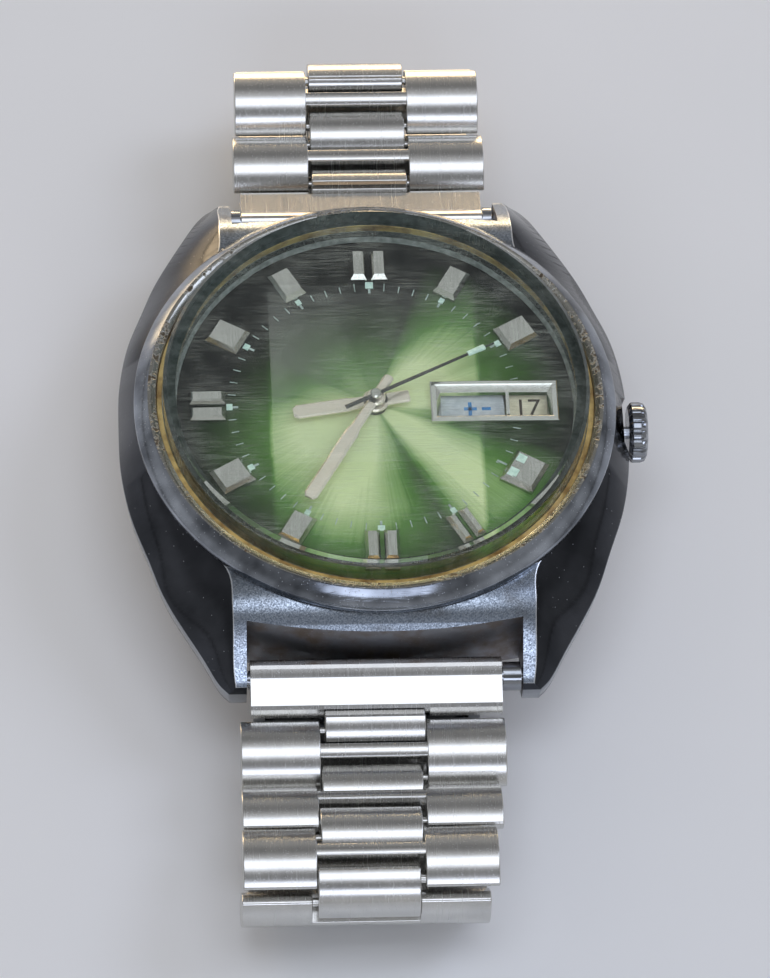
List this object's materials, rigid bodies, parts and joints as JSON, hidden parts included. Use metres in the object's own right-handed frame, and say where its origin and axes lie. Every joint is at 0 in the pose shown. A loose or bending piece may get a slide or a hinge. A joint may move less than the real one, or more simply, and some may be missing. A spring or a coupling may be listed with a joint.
{
  "type": "wristwatch",
  "caption": "Steel wristwatch with faceted crystal, green dial, hands, calendar window, crown and winding movement on a folded link bracelet closed by a clasp.",
  "frame": {"origin": "on the resting surface under the centre of the dial, on the flat underside of the closed clasp", "axes": "+X towards 3 o'clock and the crown, +Y towards 12 o'clock along the bracelet, +Z out of the dial"},
  "size_m": [0.0372, 0.071, 0.0153],
  "materials": {
    "polished_steel": "mirror polished stainless steel with fine wear",
    "brushed_steel": "satin steel brushed across the strap",
    "crystal_glass": "clear facet cut crystal with fine scratches",
    "yellowed_gasket": "aged translucent yellow plastic",
    "green_dial": "lacquered green sunburst darkening to black at the rim",
    "polished_hand": "polished rhodium plate",
    "cream_disc": "matt cream print ground",
    "grey_disc": "matt pale grey print ground",
    "nickel_plate": "fine satin nickel",
    "movement_brass": "satin gilt brass"
  },
  "bodies": {
    "head": {"case_body": "polished_steel", "bezel": "polished_steel", "crystal": "crystal_glass", "crystal_gasket": "yellowed_gasket", "dial": "green_dial", "window_frame": "polished_hand", "main_plate": "nickel_plate", "train_bridge": "nickel_plate", "case_back": "brushed_steel", "spring_bar_6": "polished_steel", "spring_bar_12": "polished_steel"},
    "second_train": {"second_hand": "polished_hand", "fourth_wheel": "movement_brass"},
    "minute_train": {"minute_hand": "polished_hand", "centre_wheel": "movement_brass"},
    "hour_hand": {"hour_hand": "polished_hand"},
    "third_wheel": {"third_wheel": "movement_brass"},
    "escape_wheel": {"escape_wheel": "nickel_plate"},
    "mainspring_barrel": {"mainspring_barrel": "movement_brass"},
    "pallet_fork": {"pallet_fork": "nickel_plate"},
    "balance_wheel": {"balance_wheel": "movement_brass"},
    "rotor": {"rotor": "nickel_plate"},
    "date_ring": {"date_ring": "cream_disc"},
    "day_disc": {"day_disc": "grey_disc"},
    "clutch_pinion": {"clutch_pinion": "nickel_plate"},
    "crown": {"crown": "polished_steel", "winding_stem": "polished_steel"},
    "end_piece_6": {"end_piece_6": "brushed_steel"},
    "centre_link_6_1": {"centre_link_6_1": "brushed_steel"},
    "wide_link_6_1": {"wide_link_6_1": "brushed_steel"},
    "centre_link_6_2": {"centre_link_6_2": "brushed_steel"},
    "wide_link_6_2": {"wide_link_6_2": "brushed_steel"},
    "centre_link_6_3": {"centre_link_6_3": "brushed_steel"},
    "wide_link_6_3": {"wide_link_6_3": "brushed_steel"},
    "centre_link_6_4": {"centre_link_6_4": "brushed_steel"},
    "wide_link_6_4": {"wide_link_6_4": "brushed_steel"},
    "centre_link_6_5": {"centre_link_6_5": "brushed_steel"},
    "wide_link_6_5": {"wide_link_6_5": "brushed_steel"},
    "centre_link_6_6": {"centre_link_6_6": "brushed_steel"},
    "wide_link_6_6": {"wide_link_6_6": "brushed_steel"},
    "centre_link_6_7": {"centre_link_6_7": "brushed_steel"},
    "wide_link_6_7": {"wide_link_6_7": "brushed_steel"},
    "end_piece_12": {"end_piece_12": "brushed_steel"},
    "centre_link_12_1": {"centre_link_12_1": "brushed_steel"},
    "wide_link_12_1": {"wide_link_12_1": "brushed_steel"},
    "centre_link_12_2": {"centre_link_12_2": "brushed_steel"},
    "wide_link_12_2": {"wide_link_12_2": "brushed_steel"},
    "centre_link_12_3": {"centre_link_12_3": "brushed_steel"},
    "wide_link_12_3": {"wide_link_12_3": "brushed_steel"},
    "centre_link_12_4": {"centre_link_12_4": "brushed_steel"},
    "wide_link_12_4": {"wide_link_12_4": "brushed_steel"},
    "centre_link_12_5": {"centre_link_12_5": "brushed_steel"},
    "wide_link_12_5": {"wide_link_12_5": "brushed_steel"},
    "centre_link_12_6": {"centre_link_12_6": "brushed_steel"},
    "wide_link_12_6": {"wide_link_12_6": "brushed_steel"},
    "centre_link_12_7": {"centre_link_12_7": "brushed_steel"},
    "wide_link_12_7": {"wide_link_12_7": "brushed_steel"},
    "clasp_inner_blade": {"clasp_inner_blade": "brushed_steel"},
    "clasp_outer_blade": {"clasp_outer_blade": "brushed_steel"},
    "clasp_cover": {"clasp_cover": "polished_steel"}
  },
  "joints": [
    {"name": "second_turn", "type": "hinge", "parent": "head", "child": "second_train", "pos_m": [0, 0, 0.0116], "axis": [0, 0, -1], "continuous": true},
    {"name": "minute_turn", "type": "hinge", "parent": "head", "child": "minute_train", "pos_m": [0, 0, 0.0116], "axis": [0, 0, -1], "continuous": true},
    {"name": "hour_turn", "type": "hinge", "parent": "head", "child": "hour_hand", "pos_m": [0, 0, 0.0116], "axis": [0, 0, -1], "continuous": true},
    {"name": "third_wheel_turn", "type": "hinge", "parent": "head", "child": "third_wheel", "pos_m": [0.00208, 0.00359, 0.0075], "axis": [0, 0, -1], "continuous": true},
    {"name": "escape_wheel_turn", "type": "hinge", "parent": "head", "child": "escape_wheel", "pos_m": [0.00198, -0.00342, 0.0074], "axis": [0, 0, -1], "continuous": true},
    {"name": "barrel_turn", "type": "hinge", "parent": "head", "child": "mainspring_barrel", "pos_m": [-0.00588, 0.00093, 0.0082], "axis": [0, 0, -1], "continuous": true},
    {"name": "pallet_fork_swing", "type": "hinge", "parent": "head", "child": "pallet_fork", "pos_m": [0.00435, -0.0045, 0.0077], "axis": [0, 0, 1], "range_deg": [-5, 5]},
    {"name": "balance_swing", "type": "hinge", "parent": "head", "child": "balance_wheel", "pos_m": [0.00685, -0.00695, 0.0074], "axis": [0, 0, 1], "range_deg": [-135, 135]},
    {"name": "rotor_turn", "type": "hinge", "parent": "head", "child": "rotor", "pos_m": [0, 0, 0.0056], "axis": [0, 0, 1], "continuous": true},
    {"name": "date_turn", "type": "hinge", "parent": "head", "child": "date_ring", "pos_m": [0, 0, 0.01085], "axis": [0, 0, 1], "continuous": true},
    {"name": "day_turn", "type": "hinge", "parent": "head", "child": "day_disc", "pos_m": [0, 0, 0.01085], "axis": [0, 0, 1], "continuous": true},
    {"name": "crown_turn", "type": "hinge", "parent": "head", "child": "clutch_pinion", "pos_m": [0.009, 0, 0.0082], "axis": [1, 0, 0], "continuous": true},
    {"name": "crown_pull", "type": "slide", "parent": "clutch_pinion", "child": "crown", "axis": [1, 0, 0], "range_m": [0, 0.0014]},
    {"name": "lug_hinge_6", "type": "hinge", "parent": "head", "child": "end_piece_6", "pos_m": [-0.0006, -0.01924, 0.0071], "axis": [-1, 0, 0], "range_deg": [0, 20]},
    {"name": "strap_6_hinge_01", "type": "hinge", "parent": "end_piece_6", "child": "centre_link_6_1", "pos_m": [-0.00077, -0.02137, 0.00654], "axis": [-1, 0, 0], "range_deg": [0, 9.2]},
    {"name": "strap_6_hinge_02", "type": "hinge", "parent": "centre_link_6_1", "child": "wide_link_6_1", "pos_m": [-0.00094, -0.02291, 0.00629], "axis": [-1, 0, 0], "range_deg": [0, 9.2]},
    {"name": "strap_6_hinge_03", "type": "hinge", "parent": "wide_link_6_1", "child": "centre_link_6_2", "pos_m": [-0.00111, -0.02623, 0.00537], "axis": [-1, 0, 0], "range_deg": [0, 3]},
    {"name": "strap_6_hinge_04", "type": "hinge", "parent": "centre_link_6_2", "child": "wide_link_6_2", "pos_m": [-0.00128, -0.02778, 0.00556], "axis": [-1, 0, 0], "range_deg": [0, 3]},
    {"name": "strap_6_hinge_05", "type": "hinge", "parent": "wide_link_6_2", "child": "centre_link_6_3", "pos_m": [-0.00144, -0.03076, 0.00727], "axis": [-1, 0, 0], "range_deg": [0, 15.1]},
    {"name": "strap_6_hinge_06", "type": "hinge", "parent": "centre_link_6_3", "child": "wide_link_6_3", "pos_m": [-0.00161, -0.03225, 0.00775], "axis": [-1, 0, 0], "range_deg": [0, 15.1]},
    {"name": "strap_6_hinge_07", "type": "hinge", "parent": "wide_link_6_3", "child": "centre_link_6_4", "pos_m": [-0.00178, -0.03567, 0.00808], "axis": [-1, 0, 0], "range_deg": [0, 61.6]},
    {"name": "strap_6_hinge_08", "type": "hinge", "parent": "centre_link_6_4", "child": "wide_link_6_4", "pos_m": [-0.00195, -0.03661, 0.00684], "axis": [-1, 0, 0], "range_deg": [0, 61.6]},
    {"name": "strap_6_hinge_09", "type": "hinge", "parent": "wide_link_6_4", "child": "centre_link_6_5", "pos_m": [-0.00178, -0.03535, 0.00364], "axis": [-1, 0, 0], "range_deg": [0, 27.3]},
    {"name": "strap_6_hinge_10", "type": "hinge", "parent": "centre_link_6_5", "child": "wide_link_6_5", "pos_m": [-0.00162, -0.03423, 0.00255], "axis": [-1, 0, 0], "range_deg": [0, 27.3]},
    {"name": "strap_6_hinge_11", "type": "hinge", "parent": "wide_link_6_5", "child": "centre_link_6_6", "pos_m": [-0.00145, -0.031, 0.00137], "axis": [-1, 0, 0], "range_deg": [0, 13]},
    {"name": "strap_6_hinge_12", "type": "hinge", "parent": "centre_link_6_6", "child": "wide_link_6_6", "pos_m": [-0.00128, -0.02946, 0.0011], "axis": [-1, 0, 0], "range_deg": [0, 13]},
    {"name": "strap_6_hinge_13", "type": "hinge", "parent": "wide_link_6_6", "child": "centre_link_6_7", "pos_m": [-0.00112, -0.02602, 0.0011], "axis": [-1, 0, 0], "range_deg": [0, 3]},
    {"name": "strap_6_hinge_14", "type": "hinge", "parent": "centre_link_6_7", "child": "wide_link_6_7", "pos_m": [-0.00095, -0.02446, 0.0011], "axis": [-1, 0, 0], "range_deg": [0, 3]},
    {"name": "lug_hinge_12", "type": "hinge", "parent": "head", "child": "end_piece_12", "pos_m": [0, 0.01924, 0.0071], "axis": [1, 0, 0], "range_deg": [0, 20]},
    {"name": "strap_12_hinge_01", "type": "hinge", "parent": "end_piece_12", "child": "centre_link_12_1", "pos_m": [0, 0.02141, 0.00668], "axis": [1, 0, 0], "range_deg": [0, 3]},
    {"name": "strap_12_hinge_02", "type": "hinge", "parent": "centre_link_12_1", "child": "wide_link_12_1", "pos_m": [0, 0.02297, 0.0067], "axis": [1, 0, 0], "range_deg": [0, 3]},
    {"name": "strap_12_hinge_03", "type": "hinge", "parent": "wide_link_12_1", "child": "centre_link_12_2", "pos_m": [0, 0.02641, 0.00676], "axis": [1, 0, 0], "range_deg": [0, 3]},
    {"name": "strap_12_hinge_04", "type": "hinge", "parent": "centre_link_12_2", "child": "wide_link_12_2", "pos_m": [0, 0.02794, 0.00702], "axis": [1, 0, 0], "range_deg": [0, 3]},
    {"name": "strap_12_hinge_05", "type": "hinge", "parent": "wide_link_12_2", "child": "centre_link_12_3", "pos_m": [0, 0.03122, 0.00809], "axis": [1, 0, 0], "range_deg": [0, 71]},
    {"name": "strap_12_hinge_06", "type": "hinge", "parent": "centre_link_12_3", "child": "wide_link_12_3", "pos_m": [0, 0.03222, 0.00689], "axis": [1, 0, 0], "range_deg": [0, 71]},
    {"name": "strap_12_hinge_07", "type": "hinge", "parent": "wide_link_12_3", "child": "centre_link_12_4", "pos_m": [0, 0.0306, 0.00385], "axis": [1, 0, 0], "range_deg": [0, 22.2]},
    {"name": "strap_12_hinge_08", "type": "hinge", "parent": "centre_link_12_4", "child": "wide_link_12_4", "pos_m": [0, 0.02946, 0.00279], "axis": [1, 0, 0], "range_deg": [0, 22.2]},
    {"name": "strap_12_hinge_09", "type": "hinge", "parent": "wide_link_12_4", "child": "centre_link_12_5", "pos_m": [-0.00016, 0.02631, 0.00142], "axis": [1, 0, 0], "range_deg": [0, 14.8]},
    {"name": "strap_12_hinge_10", "type": "hinge", "parent": "centre_link_12_5", "child": "wide_link_12_5", "pos_m": [-0.00032, 0.02478, 0.0011], "axis": [1, 0, 0], "range_deg": [0, 14.8]},
    {"name": "strap_12_hinge_11", "type": "hinge", "parent": "wide_link_12_5", "child": "centre_link_12_6", "pos_m": [-0.00047, 0.02134, 0.0011], "axis": [1, 0, 0], "range_deg": [0, 3]},
    {"name": "strap_12_hinge_12", "type": "hinge", "parent": "centre_link_12_6", "child": "wide_link_12_6", "pos_m": [-0.00063, 0.01978, 0.0011], "axis": [1, 0, 0], "range_deg": [0, 3]},
    {"name": "strap_12_hinge_13", "type": "hinge", "parent": "wide_link_12_6", "child": "centre_link_12_7", "pos_m": [-0.00079, 0.01634, 0.0011], "axis": [1, 0, 0], "range_deg": [0, 3]},
    {"name": "strap_12_hinge_14", "type": "hinge", "parent": "centre_link_12_7", "child": "wide_link_12_7", "pos_m": [-0.00095, 0.01478, 0.0011], "axis": [1, 0, 0], "range_deg": [0, 3]},
    {"name": "clasp_end_hinge", "type": "hinge", "parent": "wide_link_12_7", "child": "clasp_inner_blade", "pos_m": [0, 0.01134, 0.0011], "axis": [1, 0, 0], "range_deg": [0, 40]},
    {"name": "clasp_fold_hinge", "type": "hinge", "parent": "clasp_inner_blade", "child": "clasp_outer_blade", "pos_m": [0, -0.01742, 0.00285], "axis": [-1, 0, 0], "range_deg": [0, 8]},
    {"name": "clasp_cover_hinge", "type": "hinge", "parent": "clasp_outer_blade", "child": "clasp_cover", "pos_m": [0, 0.00719, 0.002], "axis": [1, 0, 0], "range_deg": [0, 50]}
  ],
  "couplings": [
    {"joint": "minute_turn", "follows": "second_turn", "ratio": 0.016667},
    {"joint": "hour_turn", "follows": "second_turn", "ratio": 0.0013889},
    {"joint": "third_wheel_turn", "follows": "second_turn", "ratio": -0.13333},
    {"joint": "escape_wheel_turn", "follows": "second_turn", "ratio": -10},
    {"joint": "barrel_turn", "follows": "second_turn", "ratio": -0.0028333}
  ]
}
